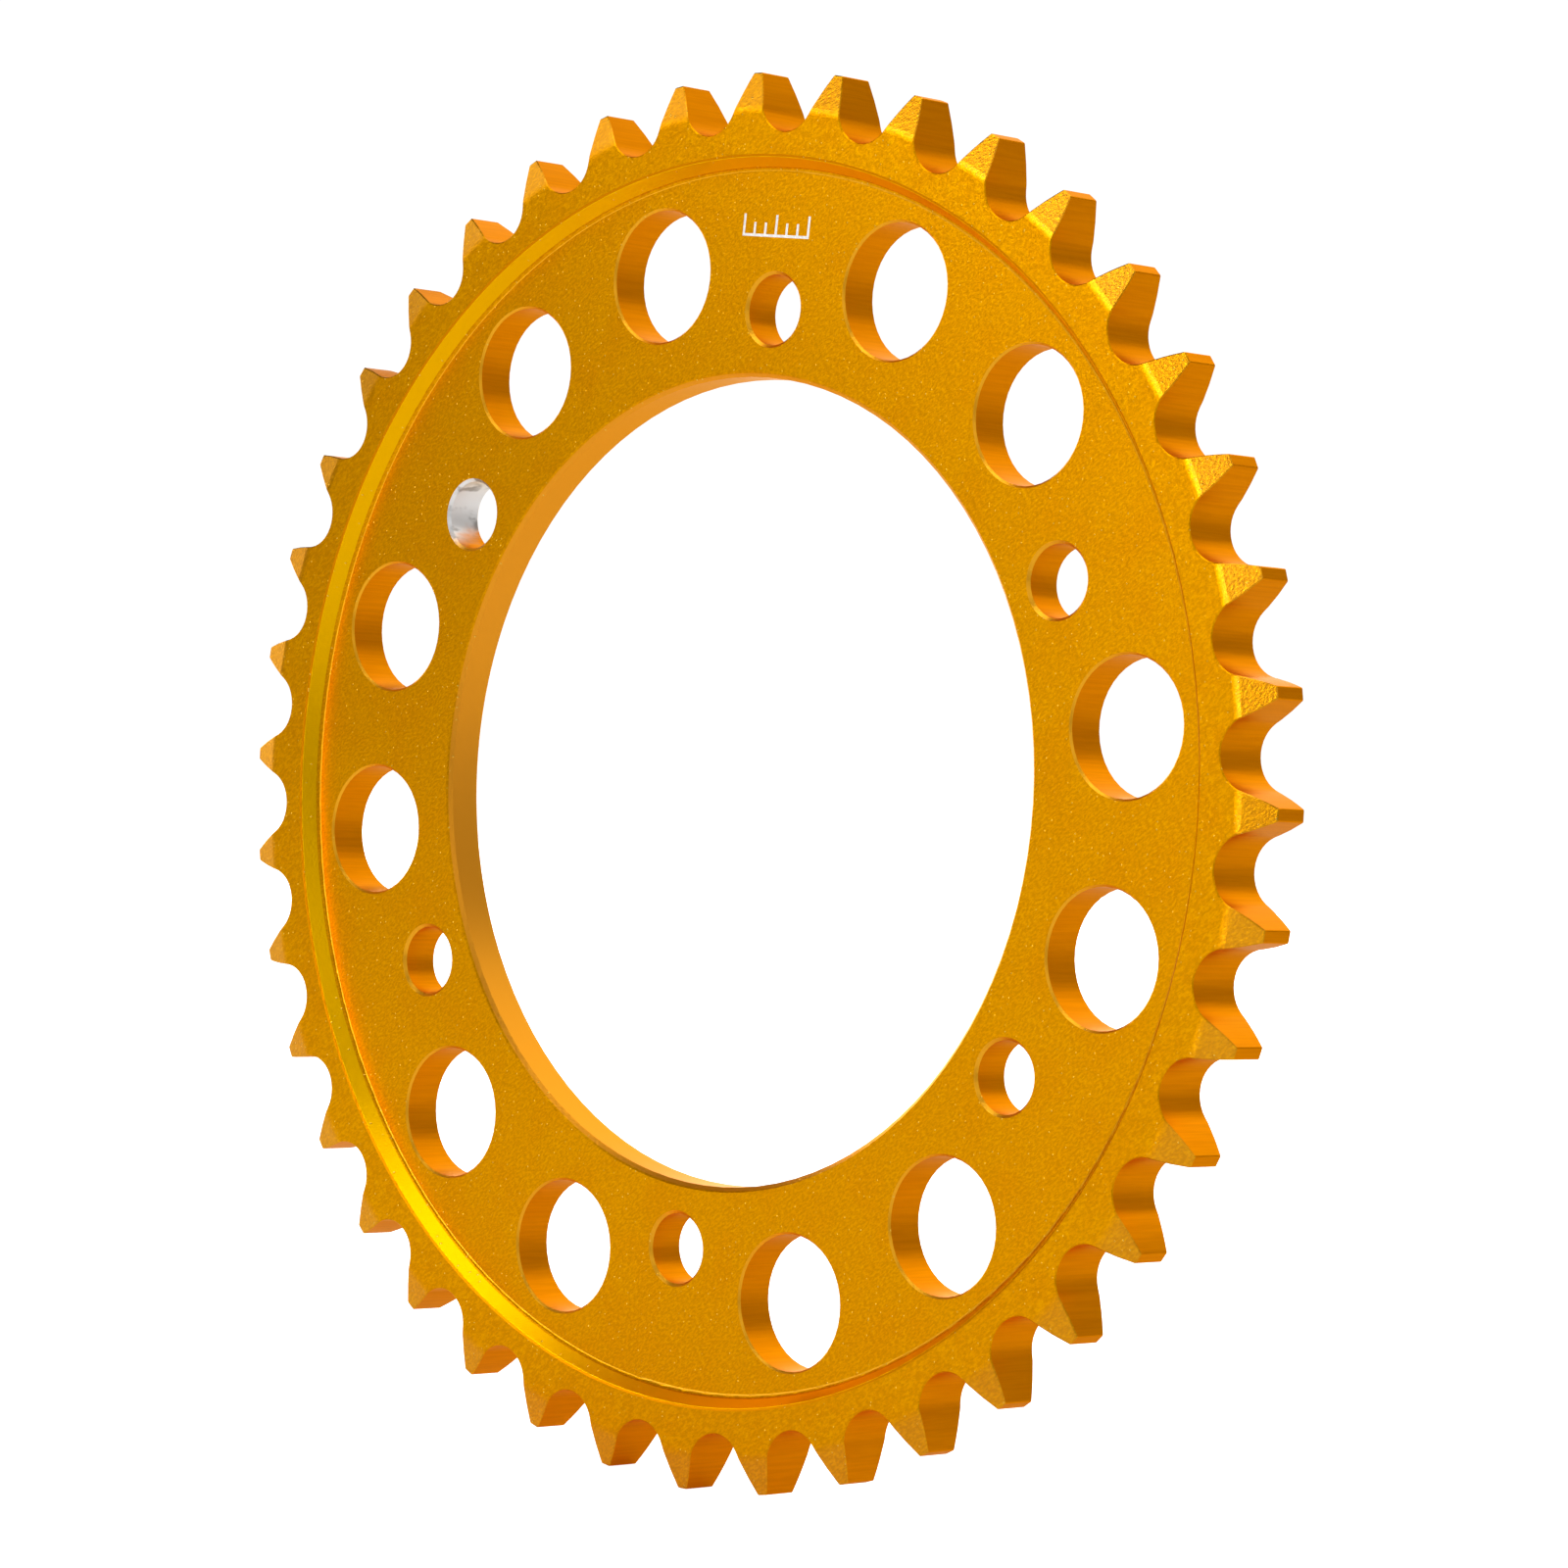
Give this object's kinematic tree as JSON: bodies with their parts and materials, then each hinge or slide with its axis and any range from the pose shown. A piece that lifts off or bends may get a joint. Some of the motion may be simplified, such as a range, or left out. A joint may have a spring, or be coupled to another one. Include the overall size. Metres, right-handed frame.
{
  "type": "rear sprocket",
  "caption": "Motorcycle rear sprocket: flat aluminium ring with a stepped, toothed rim, a wide pilot bore, a circle of bolt holes and pairs of lightening holes.",
  "frame": {"origin": "on the bore's axis, halfway through the width of the tooth ring", "axes": "+Y along the axle line, from the etched, stepped face (-Y) to the flat face that seats on the wheel carrier (+Y); +Z radially out through the middle of one bolt hole"},
  "size_m": [0.2094, 0.009, 0.2094],
  "materials": {
    "gold_anodising": "satin"
  },
  "bodies": {
    "root": {"sprocket": "gold_anodising"}
  },
  "joints": []
}
